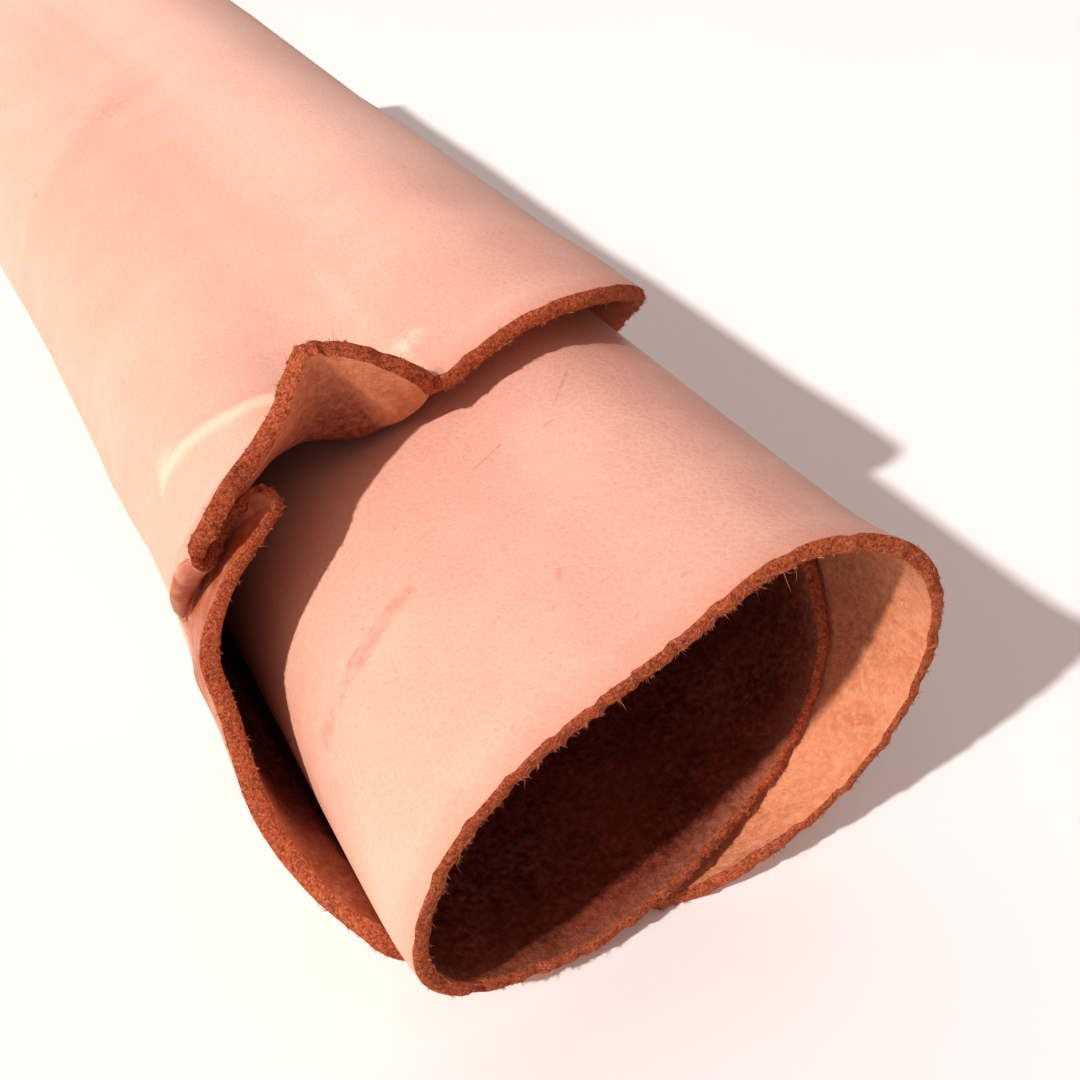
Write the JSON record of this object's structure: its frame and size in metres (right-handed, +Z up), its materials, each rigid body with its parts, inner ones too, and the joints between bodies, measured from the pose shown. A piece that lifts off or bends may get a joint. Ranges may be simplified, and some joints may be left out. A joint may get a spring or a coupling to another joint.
{
  "type": "rolled leather piece",
  "caption": "Raw-edged piece of thick vegetable-tanned leather rolled up grain side out, its outer wrap set back from the open mouth with a lifted, pleated front margin.",
  "frame": {"origin": "middle of the underside of the roll's box, on the surface that it lies on", "axes": "+Y along the roll, away from its open mouth; +X to the right as seen from the mouth; +Z up"},
  "size_m": [0.1402, 0.5022, 0.105],
  "materials": {
    "leather": "natural, undyed grain side out, suede-like flesh side in, raw fibrous edges"
  },
  "bodies": {
    "root": {"leather_roll": "leather"}
  },
  "joints": []
}
